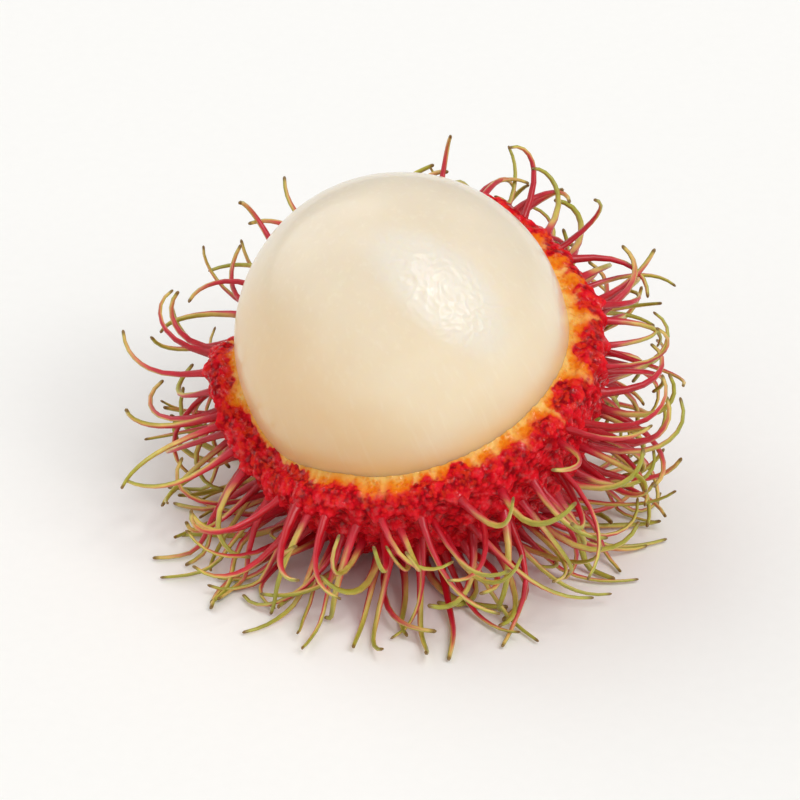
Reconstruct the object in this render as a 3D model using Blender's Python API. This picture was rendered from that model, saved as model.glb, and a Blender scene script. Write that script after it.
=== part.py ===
"""A half-peeled rambutan: the lower husk, a hairy cup with a torn rim, and the pale ball of flesh in it.

The fruit rests on a small flat spot at the origin, +Z up. It leans towards -X, a third of the way round to
-Y, so the torn rim is lowest at the front left. The husk and its hairs (spinterns) grew as one piece and
are one solid.
"""

import math
import random

import bmesh
import bpy
from mathutils import Vector

MM = 0.001

# The ball of flesh, an egg along the fruit's own axis: nearly round above, longer below.
FLESH_RADIUS = 18.0 * MM
FLESH_ABOVE = 18.1 * MM
FLESH_BELOW = 20.8 * MM

# The husk, which follows the flesh at a small gap and is thicker at the end of the fruit.
FIT_GAP = 0.3 * MM
HUSK_WALL = 2.8 * MM
HUSK_END_WALL = 3.5 * MM
FLAT_SPOT_DEPTH = 0.8 * MM

# How far the fruit's axis leans from upright, and the compass bearing of the lean, from +X towards +Y.
LEAN = math.radians(23.0)
LEAN_BEARING = math.radians(213.0)

# The torn rim: latitude on the husk, in degrees, at each bearing round the ball.
RIM_LATITUDES = (
    (-168.0, -21.0),
    (-150.0, -31.0),
    (-134.0, -30.0),
    (-116.0, -27.0),
    (-92.0, -24.0),
    (-60.0, -14.0),
    (-32.0, -4.0),
    (-6.0, 4.0),
    (19.0, 13.0),
    (38.0, 18.0),
    (56.0, 27.0),
    (90.0, 18.0),
    (120.0, 5.0),
    (148.0, -11.0),
    (176.0, -8.0),
)
RIM_ROUNDING = 0.9 * MM

# Where the hairs grow. LATTICE_POINTS covers a whole fruit, and every HAIR_STEP-th one on the husk is made.
LATTICE_POINTS = 700
HAIR_STEP = 2
LATTICE_JITTER = 0.2
RIM_MARGIN = 1.1 * MM
LOWEST_ROOT = 1.1 * MM

# One hair: its length at the side of the fruit, its taper, and how it leans, hooks, twists and droops.
HAIR_LENGTH = (9.5 * MM, 13.0 * MM)
UNDERSIDE_GAIN = 0.5
HAIR_ROOT_DEPTH = 1.3 * MM
HAIR_RADII = ((0.0, 0.95 * MM), (0.10, 0.62 * MM), (0.35, 0.47 * MM), (0.75, 0.38 * MM), (1.0, 0.3 * MM))
HAIR_SEGMENTS = 6
HAIR_SIDES = 3
FACET_SWELL = 1.2
HAIR_LEAN = (math.radians(4.0), math.radians(26.0))
HAIR_CURL = (math.radians(65.0), math.radians(150.0))
HAIR_TWIST = math.radians(40.0)
HAIR_DROOP = math.radians(14.0)
CURL_POWER = 1.3
CURL_SPREAD = 0.9
PATH_STEPS = 24
PATH_SMOOTHING = 3

# How a hair keeps clear of the ground and of the skin.
GROUND_MARGIN = 0.12 * MM
SPREAD_HEIGHT = 9.0 * MM
GROUND_SPREAD = math.radians(62.0)
GROUND_LOOKAHEAD = 4
GROUND_RISE = 0.2
GROUND_TURN = math.radians(14.0)
SKIN_MARGIN = 0.3 * MM
ROOT_SHARE = 1.0 / 6.0
SEED = 7318

# Facets of the plain surfaces, and the angle between two of them that counts as an edge.
SHARP_ANGLE = math.radians(50.0)
COLUMNS = 40
OUTER_RINGS = 11
INNER_RINGS = 8
FLESH_RINGS = 16

UP = Vector((0.0, 0.0, 1.0))
AXIS = Vector((
    math.sin(LEAN) * math.cos(LEAN_BEARING),
    math.sin(LEAN) * math.sin(LEAN_BEARING),
    math.cos(LEAN),
))


class Egg:
    """A round body along the fruit's axis, of one length above its widest place and another below."""

    def __init__(self, radius, above, below):
        self.radius = radius
        self.above = above
        self.below = below

    def grown(self, side, end):
        """The same egg made thicker, by one amount round its side and above, and another at its lower end."""
        return Egg(self.radius + side, self.above + side, self.below + end)

    def half_length(self, along):
        """The half length that holds on this side of the widest place."""
        return self.above if along > 0 else self.below

    def reach(self, direction):
        """Distance from the centre to the surface along a unit direction."""
        along = direction.dot(AXIS)
        across = 1.0 - along * along
        return 1.0 / math.sqrt(across / self.radius**2 + (along / self.half_length(along)) ** 2)

    def normal(self, direction):
        """Outward normal where that direction meets the surface."""
        along = direction.dot(AXIS)
        flat = (direction - AXIS * along) / self.radius**2
        return (flat + AXIS * (along / self.half_length(along) ** 2)).normalized()

    def lowest(self):
        """The lowest point of the surface, from the centre."""
        spread = self.below**2 - self.radius**2
        pull = UP * self.radius**2 + AXIS * (spread * AXIS.z)
        return -pull / math.sqrt(pull.z)


FLESH = Egg(FLESH_RADIUS, FLESH_ABOVE, FLESH_BELOW)
CAVITY = FLESH.grown(FIT_GAP, FIT_GAP)
SKIN = CAVITY.grown(HUSK_WALL, HUSK_END_WALL)

# The centre of the flesh, placed so that the flat spot is centred on the origin at z = 0.
LOWEST = SKIN.lowest()
CENTRE = Vector((-LOWEST.x, -LOWEST.y, -LOWEST.z - FLAT_SPOT_DEPTH))


def rim_latitude(bearing):
    """Latitude of the torn rim at a bearing, in radians, on a smooth closed curve through RIM_LATITUDES."""
    degrees = math.degrees(bearing)
    knots = RIM_LATITUDES
    count = len(knots)
    first = knots[0][0]
    degrees = (degrees - first) % 360.0 + first
    at = max(k for k in range(count) if knots[k][0] <= degrees)

    def knot(k):
        turn = k // count
        return knots[k % count][0] + 360.0 * turn, knots[k % count][1]

    (x0, y0), (x1, y1), (x2, y2), (x3, y3) = (knot(at + k) for k in (-1, 0, 1, 2))
    span = x2 - x1
    t = (degrees - x1) / span
    slope_in = (y2 - y0) / (x2 - x0) * span
    slope_out = (y3 - y1) / (x3 - x1) * span
    lift = y1 * (2 * t**3 - 3 * t**2 + 1) + slope_in * (t**3 - 2 * t**2 + t)
    return math.radians(lift + y2 * (3 * t**2 - 2 * t**3) + slope_out * (t**3 - t**2))


def direction_at(bearing, latitude):
    """Unit direction from the centre at a bearing and a latitude."""
    level = math.cos(latitude)
    return Vector((level * math.cos(bearing), level * math.sin(bearing), math.sin(latitude)))


def point_on(body, direction):
    """Where a direction from the centre meets the surface of a body."""
    return CENTRE + direction * body.reach(direction)


def ring_on(body, share, drop=0.0):
    """A ring of points on a body, at a share of the way from straight down up to the rim, less a drop."""
    points = []
    for column in range(COLUMNS):
        bearing = 2 * math.pi * column / COLUMNS
        rise = math.pi / 2 + rim_latitude(bearing) - drop / body.radius
        points.append(point_on(body, direction_at(bearing, rise * share - math.pi / 2)))
    return points


def mesh_object(name, bm, material):
    """A mesh object at the origin, shaded smooth but for its sharp edges."""
    mesh = bpy.data.meshes.new(name)
    bm.to_mesh(mesh)
    bm.free()
    mesh.materials.append(material)
    mesh.shade_smooth()
    mesh.set_sharp_from_angle(angle=SHARP_ANGLE)
    made = bpy.data.objects.new(name, mesh)
    bpy.context.scene.collection.objects.link(made)
    return made


def tube_of_rings(rings, first_pole, last_pole):
    """A closed bmesh skin over a list of equal rings, with a pole vertex or a flat cap (None) at each end."""
    bm = bmesh.new()
    loops = [[bm.verts.new(point) for point in ring] for ring in rings]
    count = len(rings[0])
    for low, high in zip(loops, loops[1:]):
        for k in range(count):
            n = (k + 1) % count
            bm.faces.new((low[k], low[n], high[n], high[k]))
    for loop, pole in ((loops[0], first_pole), (loops[-1], last_pole)):
        if pole is None:
            bm.faces.new(loop)
            continue
        tip = bm.verts.new(pole)
        for k in range(count):
            bm.faces.new((loop[k], loop[(k + 1) % count], tip))
    bmesh.ops.recalc_face_normals(bm, faces=bm.faces)
    return bm


def material(name, colour, roughness):
    """A plain Principled finish."""
    made = bpy.data.materials.new(name)
    made.use_nodes = True
    shader = made.node_tree.nodes["Principled BSDF"]
    shader.inputs["Base Color"].default_value = (*colour, 1.0)
    shader.inputs["Roughness"].default_value = roughness
    shader.inputs["Metallic"].default_value = 0.0
    return made


def make_flesh():
    """The ball of flesh, whole, one smooth egg."""
    rings = []
    for k in range(1, FLESH_RINGS):
        latitude = math.pi * k / FLESH_RINGS - math.pi / 2
        ring = []
        for column in range(COLUMNS):
            bearing = 2 * math.pi * column / COLUMNS
            ring.append(point_on(FLESH, direction_at(bearing, latitude)))
        rings.append(ring)
    bm = tube_of_rings(rings, point_on(FLESH, -UP), point_on(FLESH, UP))
    return mesh_object("flesh", bm, material("aril_flesh", (0.86, 0.79, 0.64), 0.25))


def make_husk_cup():
    """The husk without its hairs: a cup of even wall, rounded at its torn rim and flat where it rests."""
    rings = [ring_on(SKIN, k / OUTER_RINGS, RIM_ROUNDING) for k in range(1, OUTER_RINGS + 1)]
    middle = CAVITY.grown(HUSK_WALL / 2, HUSK_END_WALL / 2)
    rings.append(ring_on(middle, 1.0))
    rings += [ring_on(CAVITY, k / INNER_RINGS) for k in range(INNER_RINGS, 0, -1)]
    bm = tube_of_rings(rings, point_on(SKIN, -UP), point_on(CAVITY, -UP))
    everything = list(bm.verts) + list(bm.edges) + list(bm.faces)
    cut = bmesh.ops.bisect_plane(
        bm, geom=everything, dist=1e-7, plane_co=(0, 0, 0), plane_no=-UP, clear_outer=True
    )
    flat_edges = [item for item in cut["geom_cut"] if isinstance(item, bmesh.types.BMEdge)]
    bmesh.ops.contextual_create(bm, geom=flat_edges)
    bmesh.ops.recalc_face_normals(bm, faces=bm.faces)
    return mesh_object("husk", bm, material("husk_skin", (0.62, 0.03, 0.05), 0.4))


def hair_root(index):
    """Direction from the centre to a hair's root, on a spiral lattice with jitter, or None off the husk."""
    rng = random.Random(SEED + index)
    spacing = math.sqrt(4 * math.pi / LATTICE_POINTS)
    along = 1.0 - (2 * index + 1) / LATTICE_POINTS
    across = math.sqrt(1.0 - along * along)
    turn = index * math.pi * (3.0 - math.sqrt(5.0))
    side = AXIS.cross(UP).normalized()
    front = AXIS.cross(side)
    direction = side * (across * math.cos(turn)) + front * (across * math.sin(turn)) - AXIS * along
    shift = Vector((rng.gauss(0, 1), rng.gauss(0, 1), rng.gauss(0, 1)))
    direction = (direction + shift * (spacing * LATTICE_JITTER)).normalized()
    bearing = math.atan2(direction.y, direction.x)
    room = rim_latitude(bearing) - math.asin(direction.z)
    root = point_on(SKIN, direction)
    if room * SKIN.radius < RIM_MARGIN or root.z < LOWEST_ROOT:
        return None
    return direction


def turned(vector, towards, angle):
    """A unit vector turned by an angle towards another direction, in the plane of the two."""
    sideways = (towards - vector * towards.dot(vector))
    if sideways.length < 1e-6:
        return vector
    return (vector * math.cos(angle) + sideways.normalized() * math.sin(angle)).normalized()


def hair_path(index, direction):
    """Points from a hair's sunk root to its tip, each with its share of the length.

    Hairs are longest on the underside. Each leaves the skin nearly square to it, hooks over more and more
    towards its tip, droops a little, and spreads over the ground where it meets it. It stays clear of the
    skin that it grew from.
    """
    rng = random.Random(SEED * 2 + index)
    normal = SKIN.normal(direction)
    root = point_on(SKIN, direction)
    length = rng.uniform(*HAIR_LENGTH) * (1.0 + UNDERSIDE_GAIN * max(0.0, -direction.z))
    bearing = rng.uniform(0, 2 * math.pi)
    side = normal.cross(UP).normalized()
    rise = side.cross(normal)
    lean_way = side * math.cos(bearing) + rise * math.sin(bearing)
    curl_bearing = bearing + rng.gauss(0, CURL_SPREAD)
    curl_way = side * math.cos(curl_bearing) + rise * math.sin(curl_bearing)
    curl = rng.uniform(*HAIR_CURL)
    twist = rng.uniform(-HAIR_TWIST, HAIR_TWIST)
    outward = Vector((direction.x, direction.y, 0.0)).normalized()
    crowding = max(0.0, 1.0 - root.z / SPREAD_HEIGHT)
    heading = turned(normal, lean_way, rng.uniform(*HAIR_LEAN))
    heading = turned(heading, outward, crowding * GROUND_SPREAD)
    step = length / PATH_STEPS
    spots = [root.copy()]
    for k in range(PATH_STEPS):
        share = (k + 0.5) / PATH_STEPS
        bend = curl * (CURL_POWER + 1) * share**CURL_POWER / PATH_STEPS
        heading = turned(heading, curl_way, bend)
        curl_way = turned(curl_way, -heading, bend)
        curl_way = turned(curl_way, heading.cross(curl_way), twist / PATH_STEPS)
        heading = turned(heading, -UP, HAIR_DROOP * 2 * share / PATH_STEPS)
        if spots[-1].z + heading.z * step * GROUND_LOOKAHEAD < 0:
            heading = turned(heading, outward + UP * GROUND_RISE, GROUND_TURN)
        spots.append(clear_spot(spots[-1] + heading * step, share))
    for _ in range(PATH_SMOOTHING):
        inner = [(a + b * 2 + c) / 4 for a, b, c in zip(spots, spots[1:], spots[2:])]
        spots[1:-1] = [clear_spot(spot, (k + 1) / PATH_STEPS) for k, spot in enumerate(inner)]
    shares = [k / PATH_STEPS for k in range(PATH_STEPS + 1)]
    return [(root - normal * HAIR_ROOT_DEPTH, 0.0)] + list(zip(spots, shares))


def clear_spot(spot, share):
    """The nearest place to a spot on a hair that is clear of the ground and of the skin."""
    radius = hair_radius(share)
    spot = Vector((spot.x, spot.y, max(spot.z, radius + GROUND_MARGIN)))
    out = spot - CENTRE
    reach = SKIN.reach(out.normalized()) + (radius + SKIN_MARGIN) * min(1.0, share / ROOT_SHARE)
    if out.length < reach:
        spot = CENTRE + out.normalized() * reach
    return spot


def hair_radius(share):
    """Radius of a hair at a share of its length, wide at the root and blunt at the tip."""
    for (s0, r0), (s1, r1) in zip(HAIR_RADII, HAIR_RADII[1:]):
        if share <= s1:
            return r0 + (r1 - r0) * (share - s0) / (s1 - s0)
    return HAIR_RADII[-1][1]


def make_hair(index, direction, material_used):
    """One hair as a tapered tube of few sides along its path."""
    path = hair_path(index, direction)
    stride = PATH_STEPS // HAIR_SEGMENTS
    chosen = [path[0]] + path[1::stride]
    rings = []
    across = chosen[1][0] - chosen[0][0]
    side = across.cross(UP).normalized()
    for k, (point, share) in enumerate(chosen):
        before = chosen[max(k - 1, 0)][0]
        after = chosen[min(k + 1, len(chosen) - 1)][0]
        along = (after - before).normalized()
        side = (side - along * side.dot(along)).normalized()
        other = along.cross(side)
        radius = hair_radius(share) * FACET_SWELL
        ring = []
        for corner in range(HAIR_SIDES):
            angle = 2 * math.pi * (corner + 0.5) / HAIR_SIDES
            spot = point + (side * math.cos(angle) + other * math.sin(angle)) * radius
            spot.z = max(spot.z, GROUND_MARGIN)
            ring.append(spot)
        rings.append(ring)
    bm = tube_of_rings(rings, None, None)
    return mesh_object(f"hair_{index}", bm, material_used)


def fuse_hairs(husk):
    """Joins every hair to the husk in one Boolean union, and removes the separate hairs."""
    hairs = bpy.data.collections.new("hairs")
    bpy.context.scene.collection.children.link(hairs)
    for index in range(0, LATTICE_POINTS, HAIR_STEP):
        direction = hair_root(index)
        if direction is None:
            continue
        hair = make_hair(index, direction, husk.data.materials[0])
        bpy.context.scene.collection.objects.unlink(hair)
        hairs.objects.link(hair)
    union = husk.modifiers.new("fuse_hairs", "BOOLEAN")
    union.operation = "UNION"
    union.operand_type = "COLLECTION"
    union.collection = hairs
    union.solver = "MANIFOLD"
    with bpy.context.temp_override(object=husk, active_object=husk):
        bpy.ops.object.modifier_apply(modifier=union.name)
    for hair in list(hairs.objects):
        bpy.data.objects.remove(hair)
    bpy.data.collections.remove(hairs)


def main():
    """Clears the scene and builds the two pieces."""
    for old in list(bpy.data.objects):
        bpy.data.objects.remove(old)
    make_flesh()
    fuse_hairs(make_husk_cup())


main()
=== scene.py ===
"""A half-peeled rambutan: moist pale flesh in a torn crimson husk, with soft hooked hairs that end green.

Three pieces stand for the two solids of the frame. The ball of flesh replaces the node flesh. The husk, with
its warty skin and torn rim, and the coat of hairs that grows from it replace the node husk. The hairs follow
the same rule of growth as the solid's hairs, and fill in those that it leaves out.
"""

import logging
import math
import random
from dataclasses import dataclass
from enum import Enum
from functools import cached_property, partial

import bmesh
import bpy
import numpy as np
from bpy.types import Material, Node, NodeSocket, NodeTree, Object
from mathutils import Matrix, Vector, kdtree, noise


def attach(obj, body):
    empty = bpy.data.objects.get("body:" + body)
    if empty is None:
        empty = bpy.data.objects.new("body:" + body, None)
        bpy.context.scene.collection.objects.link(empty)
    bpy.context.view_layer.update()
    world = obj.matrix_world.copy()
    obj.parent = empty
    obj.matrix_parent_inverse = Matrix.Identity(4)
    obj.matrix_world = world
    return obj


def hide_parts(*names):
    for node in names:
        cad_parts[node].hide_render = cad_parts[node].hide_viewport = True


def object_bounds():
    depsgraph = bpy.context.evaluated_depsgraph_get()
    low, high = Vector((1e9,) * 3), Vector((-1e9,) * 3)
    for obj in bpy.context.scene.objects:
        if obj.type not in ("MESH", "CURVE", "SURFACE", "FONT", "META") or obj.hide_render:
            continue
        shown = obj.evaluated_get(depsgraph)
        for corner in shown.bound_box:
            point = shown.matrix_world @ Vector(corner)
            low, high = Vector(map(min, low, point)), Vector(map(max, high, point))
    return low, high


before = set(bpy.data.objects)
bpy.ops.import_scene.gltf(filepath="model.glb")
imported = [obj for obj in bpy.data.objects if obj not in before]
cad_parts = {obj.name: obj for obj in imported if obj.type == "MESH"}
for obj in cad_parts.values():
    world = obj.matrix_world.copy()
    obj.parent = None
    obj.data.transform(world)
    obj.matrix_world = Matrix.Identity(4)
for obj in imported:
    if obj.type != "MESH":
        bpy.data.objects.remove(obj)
cad_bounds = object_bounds()

MM = 0.001
UP = Vector((0.0, 0.0, 1.0))
PEBBLE_RADIUS = 0.62  # in distances from one pebble to the next
log = logging.getLogger("rambutan")

Array = np.ndarray
Span = tuple[float, float]
Triple = tuple[float, float, float]
Pairs = tuple[Span, ...]
Stops = tuple[tuple[float, str], ...]  # places and colours of a ramp
Path = list[tuple[Vector, float]]  # points of a hair, each with its share of the length


class Slot(Enum):
    """The record's material slots."""

    HUSK = "husk_skin"
    FLESH = "aril_flesh"


class Trait(Enum):
    """Point attributes that carry a surface's own facts to its finish."""

    ALONG = "along"  # share of a hair's length
    TONE = "tone"  # how far along a hair turns green
    GIRTH = "girth"  # radius of a hair, in metres
    TURN = "turn"  # roll of a hair about its own line, in radians
    RIDGE = "ridge"  # side of a hair, from -1 to 1
    RELIEF = "relief"  # 0 between warts, 1 on top of one
    WALL = "wall"  # millimetres from the flesh, across the rim and down the skin
    STREAK = "streak"  # how many millimetres out the rim stays orange
    PARTING = "parting"  # how strongly a pale fibre shows in the rim
    RIM_DISTANCE = "rim_distance"  # millimetres from the rim up the flesh
    PAINTED_HIGHLIGHT = "film"  # 1 in the middle of the crinkled patch, where a whitish highlight is painted
    PAINTED_SIDE_BOUNCE = "warmth"  # 1 on the side that the lamps miss, where golden bounce light is painted


# ---- small tools


def linear(colour: str) -> tuple[float, ...]:
    """Turns an sRGB hex colour to linear.

    Args:
        colour: six hex digits after a hash sign.

    Returns:
        Linear red, green and blue, and an alpha of 1.
    """
    parts = [int(colour[k:k + 2], 16) / 255 for k in (1, 3, 5)]
    bent = [p / 12.92 if p <= 0.04045 else ((p + 0.055) / 1.055) ** 2.4 for p in parts]
    return (*bent, 1.0)


def feed(node: Node, sources: dict | tuple) -> None:
    """Sets or links a node's inputs.

    Args:
        node: the node.
        sources: a value or an output socket for each input, by its name or number, or in their order.
    """
    for name, source in sources.items() if isinstance(sources, dict) else enumerate(sources):
        if isinstance(source, NodeSocket):
            node.id_data.links.new(source, node.inputs[name])
        else:
            node.inputs[name].default_value = source


def add_node(
    tree: NodeTree, kind: str, sources: dict | tuple = (), out: int | str | None = None, **settings: object
) -> Node | NodeSocket:
    """Adds a node with its settings and what feeds its inputs.

    Args:
        tree: the node tree.
        kind: the node's type name; one without "Node" in it takes the tree's own prefix.
        sources: what feeds its inputs.
        out: name or number of the output to return.
        settings: values of the node's own properties; "stops" gives a colour ramp's places and colours.

    Returns:
        That output, or the node where no output is named.
    """
    node = tree.nodes.new(kind if "Node" in kind else tree.bl_idname.removesuffix("Tree") + kind)
    stops = settings.pop("stops", ())
    for _ in stops[2:]:
        node.color_ramp.elements.new(1.0)
    for k, (place, colour) in enumerate(stops):
        node.color_ramp.elements[k].position = place
        node.color_ramp.elements[k].color = linear(colour)
    for name, value in settings.items():
        setattr(node, name, value)
    feed(node, sources)
    return node if out is None else node.outputs[out]


def mesh_piece(
    name: str, vertices: Array, faces: list, traits: dict[Trait, Array], edges: list | tuple = ()
) -> Object:
    """Makes a smooth mesh object at the origin, with its point attributes.

    Args:
        name: the piece's name.
        vertices: one row of x, y and z for each vertex, in metres.
        faces: vertex numbers of each face, anticlockwise from outside.
        traits: values for each point, by attribute.
        edges: vertex numbers of each edge that belongs to no face.

    Returns:
        The object, linked to the scene.
    """
    mesh = bpy.data.meshes.new(name)
    mesh.from_pydata(vertices.tolist(), edges, faces)
    mesh.shade_smooth()
    for trait, values in traits.items():
        attribute = mesh.attributes.new(trait.value, "FLOAT", "POINT")
        attribute.data.foreach_set("value", np.ascontiguousarray(values, dtype=np.float32))
    made = bpy.data.objects.new(name, mesh)
    bpy.context.scene.collection.objects.link(made)
    return made


def soft_noise(points: Array, grain: float) -> Array:
    """Smooth noise from about -1 to 1 at each point, with features about one grain wide."""
    return np.array([noise.noise(Vector(point)) for point in points / grain])


def waves(points: Array, layers: Pairs) -> Array:
    """Layers of smooth noise, each with its strength and grain, added up."""
    return sum(strength * soft_noise(points, grain) for strength, grain in layers)


def pebbles(points: Array, grain: float) -> Array:
    """Rounded pebbles packed side by side.

    Args:
        points: places to sample, in metres.
        grain: distance from one pebble to the next.

    Returns:
        A height from 0 between pebbles to 1 on top of one, at each point.
    """
    nearest = np.array([noise.voronoi(Vector(point))[0][0] for point in points / grain])
    return np.clip(1.0 - (nearest / PEBBLE_RADIUS) ** 2, 0.0, 1.0)


def smooth_step(values: Array, low: float, high: float) -> Array:
    """Rises smoothly from 0 at low to 1 at high."""
    share = np.clip((values - low) / (high - low), 0.0, 1.0)
    return share * share * (3.0 - 2.0 * share)


# ---- forms


@dataclass(frozen=True)
class Egg:
    """A round body along the fruit's axis, of one length above its widest place and another below.

    A size may also be an array, for many such bodies at once.
    """

    radius: float
    above: float
    below: float

    def grown(self, side: float | Array, end: float | Array) -> "Egg":
        """The same egg made thicker, by one amount round its side and above, and another at its lower end."""
        return Egg(self.radius + side, self.above + side, self.below + end)

    def half_length(self, along: float) -> float:
        """The half length that holds on this side of the widest place."""
        return self.above if along > 0 else self.below

    def reach(self, direction: Vector, axis: Vector) -> float:
        """Distance from the centre to the surface in a direction, for a fruit that lies along axis."""
        along = direction.dot(axis)
        return 1 / math.sqrt((1.0 - along * along) / self.radius**2 + (along / self.half_length(along)) ** 2)

    def normal(self, direction: Vector, axis: Vector) -> Vector:
        """Outward normal where a direction from the centre meets the surface.

        Args:
            direction: the unit direction.
            axis: the fruit's own axis.

        Returns:
            The unit normal.
        """
        along = direction.dot(axis)
        flat = (direction - axis * along) / self.radius**2
        return (flat + axis * (along / self.half_length(along) ** 2)).normalized()

    def lowest(self, axis: Vector) -> Vector:
        """The lowest point of the surface, from the centre, for a fruit that leans along axis."""
        pull = UP * self.radius**2 + axis * ((self.below**2 - self.radius**2) * axis.z)
        return -pull / math.sqrt(pull.z)


@dataclass(frozen=True)
class Fruit:
    """The forms that flesh, husk and hairs share, and how the fruit lies: it leans on a small flat spot."""

    flesh: Egg = Egg(18.0 * MM, 18.1 * MM, 20.8 * MM)
    fit_gap: float = 0.3 * MM
    wall: float = 2.8 * MM
    end_wall: float = 3.5 * MM
    flat_depth: float = 0.8 * MM
    lean: float = math.radians(23.0)
    lean_bearing: float = math.radians(213.0)
    # Bearing and latitude of points of the torn rim, in degrees.
    rim_latitudes: Pairs = (
        (-168.0, -21.0), (-150.0, -31.0), (-134.0, -30.0), (-116.0, -27.0), (-92.0, -24.0),
        (-60.0, -14.0), (-32.0, -4.0), (-6.0, 4.0), (19.0, 13.0), (38.0, 18.0),
        (56.0, 27.0), (90.0, 18.0), (120.0, 5.0), (148.0, -11.0), (176.0, -8.0),
    )

    @property
    def axis(self) -> Vector:
        """The fruit's own axis, towards the end that was peeled."""
        level, bearing = math.sin(self.lean), self.lean_bearing
        return Vector((level * math.cos(bearing), level * math.sin(bearing), math.cos(self.lean)))

    @property
    def cavity(self) -> Egg:
        """The inside of the husk."""
        return self.flesh.grown(self.fit_gap, self.fit_gap)

    @property
    def skin(self) -> Egg:
        """The outside of the husk, without warts and hairs."""
        return self.cavity.grown(self.wall, self.end_wall)

    @property
    def centre(self) -> Vector:
        """The centre of the flesh, over the flat spot that is centred on the origin."""
        lowest = self.skin.lowest(self.axis)
        return Vector((-lowest.x, -lowest.y, -lowest.z - self.flat_depth))

    def rim_latitude(self, bearing: float) -> float:
        """Latitude of the torn rim on a smooth closed curve through rim_latitudes.

        Args:
            bearing: compass bearing round the ball, from +X towards +Y, in radians.

        Returns:
            The latitude, in radians.
        """
        knots = self.rim_latitudes
        count = len(knots)
        first = knots[0][0]
        degrees = (math.degrees(bearing) - first) % 360.0 + first
        at = max(k for k in range(count) if knots[k][0] <= degrees)

        def knot(k: int) -> Span:
            """Bearing and latitude of the knot k, counted on round the ball."""
            return knots[k % count][0] + 360.0 * (k // count), knots[k % count][1]

        (x0, y0), (x1, y1), (x2, y2), (x3, y3) = (knot(at + k) for k in (-1, 0, 1, 2))
        span = x2 - x1
        t = (degrees - x1) / span
        slope_in = (y2 - y0) / (x2 - x0) * span
        slope_out = (y3 - y1) / (x3 - x1) * span
        lift = y1 * (2 * t**3 - 3 * t**2 + 1) + slope_in * (t**3 - 2 * t**2 + t)
        return math.radians(lift + y2 * (3 * t**2 - 2 * t**3) + slope_out * (t**3 - t**2))

    def from_centre(self, directions: Array, egg: Egg) -> Array:
        """Points of an egg's surface, many at once.

        Args:
            directions: unit directions from the centre.
            egg: the round body.

        Returns:
            The points, in metres.
        """
        along = directions @ np.array(self.axis)
        length = np.where(along > 0, egg.above, egg.below)
        reach = 1.0 / np.sqrt((1.0 - along**2) / egg.radius**2 + (along / length) ** 2)
        return np.array(self.centre) + directions * reach[..., None]

    def in_wall(self, directions: Array, share: Array | float) -> Array:
        """Points of the husk: on the skin at share 0, on its inside at 1, and past that towards the flesh."""
        return self.from_centre(directions, self.skin.grown(-share * self.wall, -share * self.end_wall))

    def rim_at(self, bearings: Array) -> Array:
        """Latitude of the torn rim at many bearings, in radians."""
        return np.array([self.rim_latitude(bearing) for bearing in bearings])

    def above_rim(self, directions: Array) -> Array:
        """How far each direction points over the torn rim.

        Args:
            directions: unit directions from the centre.

        Returns:
            The angles, in radians.
        """
        table = np.linspace(-math.pi, math.pi, 1441)
        rim = np.interp(np.arctan2(directions[:, 1], directions[:, 0]), table, self.rim_at(table))
        return np.arcsin(np.clip(directions[:, 2], -1.0, 1.0)) - rim


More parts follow.
